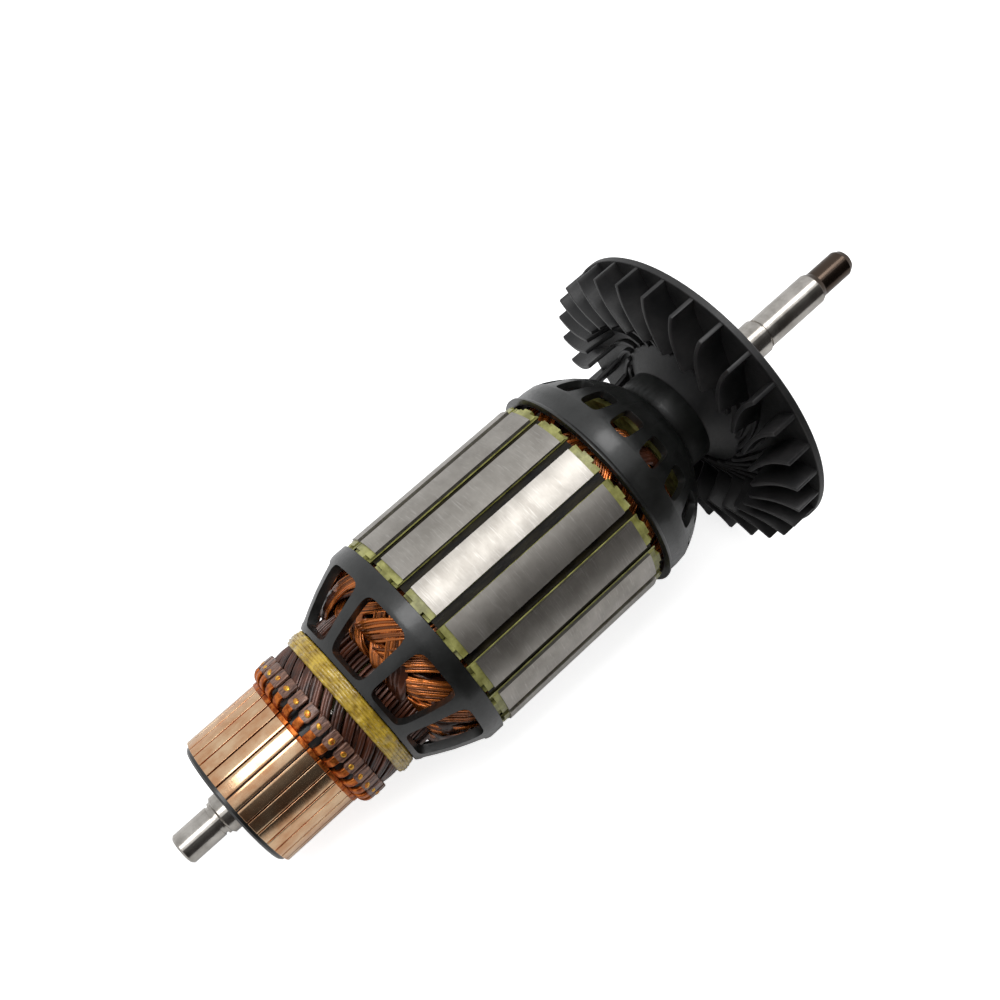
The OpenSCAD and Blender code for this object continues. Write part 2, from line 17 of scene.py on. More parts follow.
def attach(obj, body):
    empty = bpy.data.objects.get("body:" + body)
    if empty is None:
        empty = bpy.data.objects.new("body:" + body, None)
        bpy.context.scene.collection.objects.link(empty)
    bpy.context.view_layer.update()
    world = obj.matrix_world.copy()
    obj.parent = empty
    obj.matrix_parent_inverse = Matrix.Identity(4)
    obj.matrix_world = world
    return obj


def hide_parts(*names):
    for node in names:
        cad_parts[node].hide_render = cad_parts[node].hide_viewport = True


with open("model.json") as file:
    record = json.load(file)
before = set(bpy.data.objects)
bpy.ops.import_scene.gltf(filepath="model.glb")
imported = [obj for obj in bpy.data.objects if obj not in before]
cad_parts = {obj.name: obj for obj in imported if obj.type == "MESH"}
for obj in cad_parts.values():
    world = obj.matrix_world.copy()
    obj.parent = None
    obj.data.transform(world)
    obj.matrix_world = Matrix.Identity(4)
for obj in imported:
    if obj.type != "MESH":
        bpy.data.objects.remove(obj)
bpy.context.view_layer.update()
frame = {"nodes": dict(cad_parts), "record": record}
rng = random.Random(7)

# ---------------------------------------------------------------- sizes of the armature, in mm
MM = 0.001

# Shaft and core
REAR_JOURNAL_MIDDLE = 101.0
SPIGOT_Z = 110.7
BORE_R = 5.05
CORE_R = 28.5
CORE_HALF = 23.8
SLOTS = 16
PITCH = 360 / SLOTS
SLOT_ANGLE = -2.5
TOOTH_WIDTH = 3.6

# Windings: where the sides lie in the slots, and the layers of end turns beyond the core
TOP_SIDE = (20.5, 24.9)
BOTTOM_SIDE = (17.5, 19.8)
SIDE_ROOM = 0.75
COIL_SPAN = 7
LAYERS = 8
LAYER = 1.8
LAYER_Z = 26.7
WINDING_END = 40.6
LONGER_FRONT = 1.5
WINDING_TAPER = 0.16
CAGE_GAP = 0.1
SPREAD = 1.5
DIVE = 12
CROWN_R = 12.5
WIRE_R = 0.37
BUNDLE_R = 1.3
LEAD_WIRE_R = 0.5
LEAD_R = 18.6
LEAD_BEND_Z = -45.2
LEAD_TUCK = 1.8
LEADS_AHEAD = 3
HOOK_SPREAD = 2.6
CHANNEL_SPREAD = 3.4

# Commutator bars, each with the riser hook bent up from it
BARS = 32
BAR_PITCH = 360 / BARS
BAR_ANGLE = -2.9
BAR_GAP = 0.36
BAR_INNER_R = 14.05
TRACK_R = 17.75
TRACK_Z = (-82.7, -63.4)
UNTURNED_STEP = 0.15
NECK_Z = -62.3
NECK_WIDTH = 2.1
NECK_BASE = 1.1
HOOK_THICKNESS = 0.95
HOOK_R = 20.2
HOOK_BEND = HOOK_R - TRACK_R
HOOK_WIDTH = 3.2
HOOK_Z = (NECK_Z + HOOK_BEND, -55.65)
HOOK_EDGE = 0.3
HOOK_CROWN = 0.12

# Cord band
BAND_Z = (-51.45, -46.78)
BAND_R = 20.45
BAND_INNER_R = LEAD_R + 0.4
CORD_TURNS = 6
CORD_RIDGE = 0.22

# Cages. A dome is one (r, z) place, another, and the radius of the arc between them. The front
# windows end at a share of their dome, and a roundness is 1 for an ellipse and 0 for a square
ARC_STEPS = 300
FRONT_RIBS = 10
FRONT_RIB_WIDTH = 2.6
FRONT_WALL = 2.2
FRONT_EDGE = 0.8
RIB_ANGLE = -2.5
FRONT_DOME = ((20.5, -46.7), (28.2, -31.0), 59)
FRONT_RING_END = -26.4
FRONT_COLLAR = 1.2
FRONT_WINDOW_END = 0.985
FRONT_ROUNDNESS = 0.3
REAR_WINDOWS = 18
REAR_WINDOW_WIDTH = 5.8
REAR_WINDOW_Z = (35.0, 42.4)
REAR_ROUNDNESS = 0.42
WINDOW_ANGLE = 6
REAR_DOME = ((28.2, 34.5), (13.5, 51.2), 30)
REAR_WALL = 1.8
REAR_EDGE = 0.3
HOOP_Z = 27.8
LIP_R = 29.2
COLLAR_END = 58.0

# Fan
BLADES = 29
BLADE_ANGLE = -0.6
BLADE_R = 41.8
BLADE_INNER_R = 28.5
BLADE_SWEEP = 12.5
BLADE_Z = 58.5
BLADE_RISE = 2.5
BLADE_WALL = 1.1
BLADE_FOOT = 0.4
BLADE_EDGE = 0.18
VANE_HEIGHT = 1.2
VANE_END_R = 19.0
PLATE_Z = (65.4, 67.2)
PLATE_R = 42.1
FAN_Z = 58.05
FAN_NECK_R = 13.0
FAN_DISH_R = 20
FAN_BOSS_R = 9.5
FAN_BOSS_Z = 69.2

# ---------------------------------------------------------------- the shaft's own frame
journal = next(m for m in frame["record"]["mounts"] if m["name"] == "rear_journal")
shaft_way = Vector(journal["axis"]).normalized()
core_middle = Vector(journal["pos_m"]) - shaft_way * REAR_JOURNAL_MIDDLE * MM
side_way = shaft_way.cross(Vector((0, 0, 1))).normalized()
up_way = side_way.cross(shaft_way).normalized()
# The armature rests on two neighbouring blades, so up lies opposite the middle of their gap
RESTING_GAP = 12.5
UP_ANGLE = BLADE_ANGLE + RESTING_GAP * 360 / BLADES - 180


def spoke(angle):
    """The unit vector that points away from the shaft at an angle about it."""
    turn = math.radians(angle - UP_ANGLE)
    return up_way * math.cos(turn) + side_way * math.sin(turn)


AXES = Matrix((spoke(0), spoke(90), shaft_way)).transposed()
LAID = Matrix.Translation(core_middle) @ AXES.to_4x4() @ Matrix.Scale(MM, 4)


def at(r, angle, z):
    """The place at a radius and angle about the shaft, and a height along it."""
    turn = math.radians(angle)
    return Vector((r * math.cos(turn), r * math.sin(turn), z))


def lerp(a, b, t):
    """The value a share t of the way from a to b."""
    return a + (b - a) * t


def about_shaft(angle):
    """A turn about the shaft."""
    return Matrix.Rotation(math.radians(angle), 4, "Z")


def arc(p, q, radius, steps):
    """Points of an arc from p to q, with its centre on the left of that way."""
    p, q = Vector(p), Vector(q)
    chord = q - p
    left = Vector((-chord.y, chord.x)).normalized()
    centre = (p + q) / 2 + left * math.sqrt(radius ** 2 - (chord.length / 2) ** 2)
    start, end = (math.atan2(v.y - centre.y, v.x - centre.x) for v in (p, q))
    turns = [lerp(start, end, i / steps) for i in range(steps + 1)]
    return [centre + radius * Vector((math.cos(turn), math.sin(turn))) for turn in turns]


def along(curve, share):
    """The point at a share of the way along an even line of points."""
    place = max(0.0, min(1.0, share)) * (len(curve) - 1)
    first = min(int(place), len(curve) - 2)
    return curve[first].lerp(curve[first + 1], place - first)


FRONT_CURVE = arc(*FRONT_DOME, ARC_STEPS)
REAR_CURVE = arc(*REAR_DOME, ARC_STEPS)


# ---------------------------------------------------------------- finishes
def linear(code):
    """A hex sRGB colour as linear values with full opacity."""
    shares = [int(code[i:i + 2], 16) / 255 for i in (1, 3, 5)]
    return [c / 12.92 if c <= 0.04045 else ((c + 0.055) / 1.055) ** 2.4 for c in shares] + [1.0]


def add(tree, kind, inputs=None, **settings):
    """Adds a shader node with its settings, and its inputs as values or other nodes' outputs."""
    node = tree.nodes.new("ShaderNode" + kind)
    for name, value in settings.items():
        setattr(node, name, value)
    for name, value in (inputs or {}).items():
        if isinstance(value, bpy.types.NodeSocket):
            tree.links.new(value, node.inputs[name])
        else:
            node.inputs[name].default_value = value
    return node


def in_shaft_frame(tree, size):
    """Places counted from the core's middle along the shaft's own axes, in units of size mm."""
    place = add(tree, "TexCoord").outputs["Object"]
    return add(tree, "Mapping", {"Vector": place, "Location": core_middle, "Rotation": AXES.to_euler(),
                                 "Scale": [s * MM for s in size]}, vector_type="TEXTURE").outputs[0]


def grain(tree, size, low, high, to_low=0.0, to_high=1.0):
    """A noise of grains of this size in mm, with its range low..high stretched to another."""
    noise_value = add(tree, "TexNoise", {"Vector": in_shaft_frame(tree, size), "Scale": 1.0, "Detail": 4.0,
                                         "Roughness": 0.6}).outputs[0]
    return add(tree, "MapRange", {"Value": noise_value, "From Min": low, "From Max": high,
                                  "To Min": to_low, "To Max": to_high}).outputs[0]


def finish(name, dark, light, blotch, texture, roughness, relief, strands=0.0, **shader_values):
    """A material whose colour drifts from dark to light in blotches, over a fine texture.

    blotch and texture are grain sizes in mm, roughness the pair that the texture moves
    between, relief the texture's depth in mm, and strands how far each strand of a piece
    takes a colour of its own.
    """
    material = bpy.data.materials.new(name)
    material.use_nodes = True
    tree = material.node_tree
    shader = tree.nodes["Principled BSDF"]
    drift = grain(tree, blotch, 0.36, 0.64)
    if strands:
        own = add(tree, "NewGeometry").outputs["Random Per Island"]
        drift = add(tree, "Mix", {0: strands, 2: drift, 3: own}, data_type="FLOAT").outputs[0]
    colour = add(tree, "Mix", {0: drift, 6: linear(dark), 7: linear(light)}, data_type="RGBA")
    tree.links.new(colour.outputs[2], shader.inputs["Base Color"])
    fine = grain(tree, texture, 0.0, 1.0)
    rough = add(tree, "MapRange", {"Value": fine, "From Min": 0.3, "From Max": 0.7,
                                   "To Min": roughness[0], "To Max": roughness[1]})
    tree.links.new(rough.outputs[0], shader.inputs["Roughness"])
    bump = add(tree, "Bump", {"Height": fine, "Distance": relief * MM, "Strength": 1.0})
    tree.links.new(bump.outputs[0], shader.inputs["Normal"])
    for key, value in shader_values.items():
        shader.inputs[key.replace("_", " ")].default_value = value
    return material


def lay_over(material, share_of, code):
    """Lays a second colour over a finish, as far as share_of(tree) reaches towards 1."""
    tree = material.node_tree
    shader = tree.nodes["Principled BSDF"]
    under = shader.inputs["Base Color"].links[0].from_socket
    mixed = add(tree, "Mix", {0: share_of(tree), 6: under, 7: linear(code)}, data_type="RGBA")
    tree.links.new(mixed.outputs[2], shader.inputs["Base Color"])


def past_journal(tree):
    """1 beyond the rear journal, 0 before it, with a short blend between."""
    blend = 0.2
    z = add(tree, "SeparateXYZ", {0: in_shaft_frame(tree, (1, 1, 1))}).outputs[2]
    return add(tree, "MapRange", {"Value": z, "From Min": SPIGOT_Z - blend,
                                  "From Max": SPIGOT_Z + blend}).outputs[0]


# Ground shaft steel: fine turning rings round the shaft give soft stretched highlights
STEEL = finish("ground_steel", "#a6a19a", "#d0cbc4", (6, 6, 6), (40, 40, 0.12), (0.14, 0.26), 0.004,
               Metallic=1.0)
# The drive spigot stayed as machined, rough and dark
lay_over(STEEL, past_journal, "#54483f")
# Electrical steel sheet: edges of pressed sheets, turned true, with fine scratches round the core
LAMINATIONS = finish("turned_electrical_steel", "#9f9a93", "#b4afa8", (8, 8, 6), (2.5, 2.5, 0.22),
                     (0.33, 0.43), 0.01, Metallic=0.9)
lay_over(LAMINATIONS, lambda tree: grain(tree, (5, 5, 0.3), 0.56, 0.7, 0.0, 0.4), "#dcd9d4")
# Glass-filled polyester: moulded green insulation, dull under a skin of varnish
FIBRE = finish("green_polyester", "#7c7a3a", "#b3b26a", (3, 3, 3), (0.5, 0.5, 2), (0.4, 0.6), 0.03,
               Coat_Weight=0.35, Coat_Roughness=0.2)
# Vulcanised fibre wedge under dripped varnish: nearly black, wet-looking, with runs
WEDGE = finish("varnished_fibre", "#0a0908", "#262113", (2, 2, 6), (1.2, 1.2, 3), (0.16, 0.3), 0.07,
               Specular_IOR_Level=0.25)
# Phenolic moulding: black with a faint grey drift and a clear varnish on its skin
PHENOLIC = finish("moulded_phenolic", "#0f100f", "#1f201f", (5, 5, 5), (0.8, 0.8, 0.8), (0.3, 0.42), 0.03,
                  Coat_Weight=0.5, Coat_Roughness=0.16)
# Glass-filled nylon: matte charcoal, with a fine moulded grain
NYLON = finish("moulded_nylon", "#1a1a1b", "#2b2a2a", (8, 8, 8), (0.4, 0.4, 0.4), (0.38, 0.52), 0.01)
# Hard-drawn copper, turned and brushed: fine rings round the commutator, bright and warm
TURNED_COPPER = finish("turned_copper", "#dba67c", "#f3cfa8", (4, 4, 6), (60, 60, 0.16), (0.14, 0.24), 0.003,
                       Metallic=1.0)
# Bare copper at the hook's neck, as rolled and a little tarnished
BARE_COPPER = finish("rolled_copper", "#8c3f18", "#e0803a", (1.2, 1.2, 1.2), (0.6, 0.6, 0.6), (0.28, 0.44),
                     0.02, Metallic=0.9)
# Copper under baked trickle resin: brown, glossy and streaked along the shaft
RESIN_HOOK = finish("resin_over_copper", "#45291f", "#9a7260", (0.6, 0.6, 3), (0.35, 0.35, 3), (0.3, 0.48),
                    0.15, Metallic=0.3, Coat_Weight=0.5, Coat_Roughness=0.12)
# Fused copper where the electrode closed the hook: smooth, bright orange to yellow
FUSED_COPPER = finish("fused_copper", "#c4632a", "#f6c548", (0.8, 0.8, 0.8), (0.5, 0.5, 0.5),
                      (0.2, 0.32), 0.01, Metallic=0.7)
# Enamelled magnet wire under resin, with gloss: each strand has its own tone from near-black to bright
# orange. The tone is partly the wire's own colour under resin, partly painted shade, where the near-black
# strands stand for the shaded gaps between wires, and partly painted glints, where the bright orange strands
# stand for light caught on the wire
MAGNET_WIRE = finish("enamelled_wire", "#0d0403", "#ee8638", (4, 4, 4), (0.9, 0.9, 0.9), (0.2, 0.32),
                     0.02, strands=0.9, Metallic=0.7, Coat_Weight=0.4, Coat_Roughness=0.06)
# The same wire thickly coated near the hooks: dark brown with the copper glinting through
COATED_LEAD = finish("resin_coated_wire", "#1a0f0b", "#6b3a25", (2, 2, 3), (0.7, 0.7, 1.4),
                     (0.26, 0.4), 0.05, strands=0.6, Metallic=0.4, Coat_Weight=0.5, Coat_Roughness=0.08)
# Polyester lacing cord soaked in resin: ochre, lumpy, with white specks of dry fibre
LACING_CORD = finish("resin_soaked_cord", "#99791d", "#d6b53f", (2.2, 2.2, 1.6), (0.7, 0.7, 0.5),
                     (0.22, 0.45), 0.1, Coat_Weight=0.8, Coat_Roughness=0.08)
lay_over(LACING_CORD, lambda tree: grain(tree, (0.9, 0.9, 0.5), 0.66, 0.72), "#e9e4cf")


# ---------------------------------------------------------------- making a piece
def piece(bm, name, materials, nodes, crease):
    """Smooths a finished bmesh up to a crease angle, lays it where the armature lies, and makes it
    a piece that stands for its CAD nodes."""
    bm.normal_update()
    for face in bm.faces:
        face.smooth = True
    for edge in bm.edges:
        edge.smooth = edge.calc_face_angle(math.pi) < math.radians(crease)
    bm.transform(LAID)
    mesh = bpy.data.meshes.new(name)
    bm.to_mesh(mesh)
    bm.free()
    for material in materials:
        mesh.materials.append(material)
    obj = bpy.data.objects.new(name, mesh)
    bpy.context.scene.collection.objects.link(obj)
    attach(obj, "root")
    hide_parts(*nodes)
    return obj


def take_in(bm, part, turn=0.0, material=None):
    """Adds a copy of another bmesh to bm, turned about the shaft, in one material if it is given."""
    mesh = bpy.data.meshes.new("part")
    part.to_mesh(mesh)
    mesh.transform(about_shaft(turn))
    first = len(bm.faces)
    bm.from_mesh(mesh)
    bpy.data.meshes.remove(mesh)
    if material is not None:
        bm.faces.ensure_lookup_table()
        for face in bm.faces[first:]:
            face.material_index = material


def outline(bm, points):
    """A closed line through (r, z) points, in the half plane at angle 0."""
    verts = [bm.verts.new((r, 0, z)) for r, z in points]
    return verts + [bm.edges.new(pair) for pair in zip(verts, verts[1:] + verts[:1])]


def turned(points, steps):
    """A ring turned about the shaft from a closed outline."""
    bm = bmesh.new()
    bmesh.ops.spin(bm, geom=outline(bm, points), cent=(0, 0, 0), axis=(0, 0, 1), angle=2 * math.pi,
                   steps=steps, use_merge=True)
    bmesh.ops.recalc_face_normals(bm, faces=bm.faces)
    return bm


def round_edges(bm, radius, segments=2):
    """Bevels every edge of bm that isn't already soft."""
    bmesh.ops.recalc_face_normals(bm, faces=bm.faces)
    hard = [e for e in bm.edges if e.calc_face_angle(0) > math.radians(30)]
    bmesh.ops.bevel(bm, geom=hard, offset=radius, offset_type="OFFSET", affect="EDGES", segments=segments,
                    profile=0.5, material=-1, clamp_overlap=True)


def extrude_end(bm, face, move, widen=1.0):
    """Draws one face out by a move, with its width across the shaft scaled on the way."""
    made = bmesh.ops.extrude_face_region(bm, geom=[face])["geom"]
    verts = [g for g in made if isinstance(g, bmesh.types.BMVert)]
    bmesh.ops.translate(bm, vec=move, verts=verts)
    bmesh.ops.scale(bm, vec=(1, widen, 1), verts=verts)
    return next(g for g in made if isinstance(g, bmesh.types.BMFace))


# ---------------------------------------------------------------- commutator
def bar_block(r_out, z_from, z_to, edge):
    """The part of a bar between two places along the shaft, with its edges rounded."""
    bm = bmesh.new()
    half = math.radians(BAR_PITCH / 2) - BAR_GAP / 2 / r_out
    line = outline(bm, [(BAR_INNER_R, z_from), (r_out, z_from), (r_out, z_to), (BAR_INNER_R, z_to)])
    face = bm.faces.new(line[:4])
    bmesh.ops.rotate(bm, verts=bm.verts, matrix=Matrix.Rotation(-half, 3, "Z"))
    bmesh.ops.spin(bm, geom=line + [face], cent=(0, 0, 0), axis=(0, 0, 1), angle=2 * half, steps=5)
    round_edges(bm, edge, 2)
    return bm


def riser_hook():
    """A hook bent up from the bar and pressed flat over its wires."""
    bm = bmesh.new()
    half = NECK_WIDTH / 2
    base = TRACK_R - NECK_BASE
    corners = [bm.verts.new((base, y, z)) for y, z in (
        (-half, NECK_Z), (half, NECK_Z), (half, NECK_Z + HOOK_THICKNESS), (-half, NECK_Z + HOOK_THICKNESS))]
    foot = extrude_end(bm, bm.faces.new(corners), (NECK_BASE, 0, 0))
    bent = bmesh.ops.spin(bm, geom=[foot, *foot.edges, *foot.verts], cent=(TRACK_R, 0, HOOK_Z[0]),
                          axis=(0, 1, 0), angle=-math.pi / 2, steps=6)["geom_last"]
    end = next(g for g in bent if isinstance(g, bmesh.types.BMFace))
    length = HOOK_Z[1] - HOOK_Z[0]
    spread_to = HOOK_WIDTH / NECK_WIDTH * rng.uniform(0.97, 1.02)
    # each stretch of the top as a share of its length, and its width against the one before
    for share, widen in ((0.14, spread_to), (0.26, 1.0), (0.26, 1.0), (0.22, 0.99), (0.12, 0.93)):
        end = extrude_end(bm, end, (0, 0, share * length), widen)
    pressed_z = HOOK_Z[0] + 0.5
    for vert in bm.verts:
        # the press leaves each top a little uneven and never quite alike
        if vert.co.z > pressed_z:
            vert.co.x += HOOK_CROWN * noise.noise(vert.co * 0.9 + Vector((rng.random(), 0, 0)) * 0.2)
    round_edges(bm, HOOK_EDGE, 3)
    return bm


def fused_spot():
    """The eye-shaped mark of the fusing electrode on a hook."""
    bm = bmesh.new()
    sunk, from_bend, thick = 0.06, 1.6, 0.3
    place = Vector((HOOK_R - sunk, rng.uniform(-0.2, 0.2), HOOK_Z[0] + from_bend + rng.uniform(-0.4, 0.4)))
    shape = Matrix.Diagonal((thick, rng.uniform(0.75, 1.1), rng.uniform(0.55, 0.85), 1))
    lean = Matrix.Rotation(rng.uniform(-0.5, 0.5), 4, "X")
    bmesh.ops.create_icosphere(bm, subdivisions=2, radius=1, matrix=Matrix.Translation(place) @ lean @ shape)
    return bm


def commutator():
    """Thirty-two bars: the turned track, the unturned step, the hook and its fused spot."""
    track = bar_block(TRACK_R, *TRACK_Z, 0.1)
    collar = bar_block(TRACK_R + UNTURNED_STEP, TRACK_Z[1], NECK_Z, 0.12)
    bare_z = HOOK_Z[0] + 0.1
    for i in range(BARS):
        bm = bmesh.new()
        angle = BAR_ANGLE + i * BAR_PITCH
        hook = riser_hook()
        for face in hook.faces:
            face.material_index = 1 if face.calc_center_median().z < bare_z else 2
        take_in(bm, track, angle, 0)
        take_in(bm, collar, angle, 1)
        take_in(bm, hook, angle)
        take_in(bm, fused_spot(), angle, 3)
        piece(bm, f"hooked_bar_{i + 1:02d}", [TURNED_COPPER, BARE_COPPER, RESIN_HOOK, FUSED_COPPER],
              [f"commutator_bar_{i + 1:02d}"], crease=50)


# ---------------------------------------------------------------- windings
def slot_half(r):
    """Half the width of a slot at radius r, between teeth with parallel sides."""
    turn = math.radians(PITCH / 2)
    return (r * math.sin(turn) - TOOTH_WIDTH / 2) / math.cos(turn)


def dome_room(z):
    """How far out the end turns reach at height z: they taper more steeply than the cage."""
    (_, collar_z), (_, ring_z) = FRONT_CURVE[0], FRONT_CURVE[-1]
    under_cage = along(FRONT_CURVE, (-abs(z) - collar_z) / (ring_z - collar_z)).x - FRONT_WALL
    return under_cage - WIRE_R - CAGE_GAP - WINDING_TAPER * max(0.0, abs(z) - abs(ring_z))


def turn_line(k, end, across, depth):
    """A wire's way out of one slot, slanting round the end of the core, and into the other.

    across and depth run from -1 to 1 over the bundle's section, depth outwards.
    """
    layer = k % LAYERS
    farthest = WINDING_END + (LONGER_FRONT if end < 0 else 0)
    # the outer wires of a bundle turn farther from the core than the inner ones
    z_turn = lerp(LAYER_Z + (layer + 0.5) * LAYER, farthest, 0.35 + 0.3 * depth)
    first = SLOT_ANGLE + k * PITCH
    span = COIL_SPAN * PITCH
    halves = []
    for angle, top, heading in ((first, layer == LAYERS - 1, 1), (first + span, layer > 0, -1)):
        side = TOP_SIDE if top else BOTTOM_SIDE
        r = lerp(*side, (depth + 1) / 2)
        offset = math.degrees(across * (slot_half(r) - SIDE_ROOM) / r)
        points = [at(r, angle + offset, end * z) for z in (CORE_HALF - 1, LAYER_Z - 0.6)]
        for share in (0.25, 0.5, 0.75, 1.0):
            # the bundle slants at 45 degrees and spreads until it meets its neighbours
            z = lerp(LAYER_Z, z_turn, share)
            lean = heading * math.degrees((z - LAYER_Z) / r)
            spread = offset * lerp(1, SPREAD, share)
            points.append(at(min(r + 0.4, dome_room(z)), angle + lean + spread, end * z))
        dive = angle + lean + SPREAD * offset + heading * DIVE
        points.append(at(0.8 * min(r, dome_room(z_turn)), dive, end * (z_turn + 0.1)))
        halves.append(points)
    crown = at(CROWN_R + 1.2 * across, first + span / 2, end * z_turn)
    return halves[0] + [crown] + halves[1][::-1]


def lead_line(k, i, across, depth):
    """A riser wire from under its hook, at a slant below the cord, into the end turns.

    across runs from -1 to 1 over the lead's wires, and depth counts in mm from the outermost.
    """
    hook = BAR_ANGLE + (LEADS_AHEAD + i) * BAR_PITCH + k * PITCH + across * HOOK_SPREAD
    channel = SLOT_ANGLE + k * PITCH + (i + 0.5) * BAR_PITCH + across * CHANNEL_SPREAD
    start_z = HOOK_Z[1] - LEAD_TUCK
    bulge = rng.uniform(0.2, 0.5)
    # between hook and cord the wires stand up a little
    lifts = ((0.0, 0.0), (0.14, 0.1), (0.32, bulge), (0.5, bulge * 0.7), (0.64, 0.0), (1.0, -0.1))
    points = [at(LEAD_R + lift - depth, lerp(hook, channel, share), lerp(start_z, LEAD_BEND_Z, share))
              for share, lift in lifts]
    z_turn = -LAYER_Z - (k % LAYERS + 0.5) * LAYER
    points.append(at(LEAD_R - depth - 0.3, channel, max(LEAD_BEND_Z + 2.7, z_turn - 2)))
    points.append(at(LEAD_R - depth - 0.6, channel, max(LEAD_BEND_Z + 4.2, z_turn)))
    return points


WIRE_FINISHES = [MAGNET_WIRE, COATED_LEAD]
STRAND, COATED = 0, 1


def wound(lines):
    """Round wires as a bmesh, from triples of a line of points, a radius and a wire finish."""
    curve = bpy.data.curves.new("wires", "CURVE")
    curve.dimensions = "3D"
    curve.bevel_depth = 1.0
    curve.bevel_resolution = 1
    curve.use_fill_caps = True
    for material in WIRE_FINISHES:
        curve.materials.append(material)
    for points, radius, material in lines:
        spline = curve.splines.new("NURBS")
        spline.points.add(len(points) - 1)
        for knot, point in zip(spline.points, points):
            knot.co = (*point, 1)
            knot.radius = radius
        spline.order_u = 4
        spline.use_endpoint_u = True
        spline.resolution_u = 2
        spline.material_index = material
    holder = bpy.data.objects.new("wires", curve)
    bpy.context.scene.collection.objects.link(holder)
    mesh = bpy.data.meshes.new_from_object(holder.evaluated_get(bpy.context.evaluated_depsgraph_get()))
    bm = bmesh.new()
    bm.from_mesh(mesh)
    bpy.data.objects.remove(holder)
    bpy.data.curves.remove(curve)
    bpy.data.meshes.remove(mesh)
    return bm


def windings():
    """Sixteen coils: a dark resin-filled bundle under separate strands, and its riser wires."""
    for k in range(SLOTS):
        lines = []
        for end in (-1, 1):
            for across in (-0.6, 0.0, 0.6):
                lines.append((turn_line(k, end, across, -0.4), BUNDLE_R, COATED))
            # strands lie over the bundle in three depths, from the outermost inwards
            for depth, count in ((1.0, 8), (0.5, 7), (-0.2, 6)):
                for c in range(count):
                    across = lerp(-1, 1, c / (count - 1)) + rng.uniform(-0.05, 0.05)
                    strand = turn_line(k, end, across, depth + rng.uniform(-0.06, 0.0))
                    lines.append((strand, WIRE_R, STRAND))
        for i in (0, 1):
            lines.append((lead_line(k, i, 0.0, 1.5), BUNDLE_R, COATED))
            for across in (-1, 0, 1):
                wire = lead_line(k, i, across + rng.uniform(-0.15, 0.15), 0.0)
                lines.append((wire, LEAD_WIRE_R, COATED))
        piece(wound(lines), f"wound_coil_{k + 1:02d}", WIRE_FINISHES,
              [f"coil_{k + 1:02d}"], crease=60)


def cord_band():
    """Turns of cord over the leads, swollen and levelled by resin."""
    steps = CORD_TURNS * 8
    edge_r = LEAD_R + 0.7
    crest = []
    for j in range(steps + 1):
        share = j / steps
        ridge = abs(math.sin(math.pi * share * CORD_TURNS)) ** 0.6
        shoulder = math.sin(math.pi * share) ** 0.3
        top_r = BAND_R - CORD_RIDGE + CORD_RIDGE * ridge
        crest.append((lerp(edge_r, top_r, shoulder), lerp(*BAND_Z, share)))
    bm = turned(crest + [(BAND_INNER_R, BAND_Z[1]), (BAND_INNER_R, BAND_Z[0])], 256)
    # coarse and fine lumps of resin
    for vert in bm.verts:
        outwards = Vector((vert.co.x, vert.co.y, 0)).normalized()
        lumps = 1.2 * noise.noise(vert.co * 0.35) + 0.5 * noise.noise(vert.co * 1.3)
        vert.co += outwards * (0.4 * lumps - 0.12)
    piece(bm, "laced_cord", [LACING_CORD], ["lead_band"], crease=80)


# ---------------------------------------------------------------- cages
def window_sector(dome, window, half_sector, half_window, roundness):
    """One sector of a cage's skin, with a rounded window in its middle.

    It starts flat, with the window's outline reaching 1 each way and the sector's edge 2,
    and is then laid on the dome's curve. window gives the window's ends as shares of it, and
    half_window(r) half its width at radius r. roundness is as above.
    """
    bm = bmesh.new()
    bmesh.ops.create_circle(bm, cap_ends=False, radius=1, segments=48)
    rim = list(bm.edges)
    outer = bmesh.ops.extrude_edge_only(bm, edges=rim)["geom"]
    outer = [g for g in outer if isinstance(g, bmesh.types.BMVert)]
    for vert in outer:
        vert.co *= 2 / max(abs(vert.co.x), abs(vert.co.y))
    for vert in set(bm.verts) - set(outer):
        vert.co.x, vert.co.y = (math.copysign(abs(c) ** roundness, c) for c in vert.co.xy)
    ribs = [e for e in bm.edges if len({v in outer for v in e.verts}) == 2]
    bmesh.ops.subdivide_edges(bm, edges=ribs, cuts=3, use_grid_fill=True)
    for vert in bm.verts:
        x, y = vert.co.xy
        if abs(y) <= 1:
            share = lerp(*window, (y + 1) / 2)
        else:
            share = lerp(window[1], 1, y - 1) if y > 0 else lerp(window[0], 0, -y - 1)
        r, z = along(dome, share)
        # where the sectors narrow, a window leaves a fifth of its sector to the rib
        side = min(math.degrees(half_window(r) / r), 0.8 * half_sector)
        angle = side * abs(x) if abs(x) <= 1 else lerp(side, half_sector, abs(x) - 1)
        vert.co = at(r, math.copysign(angle, x), z)
    return bm


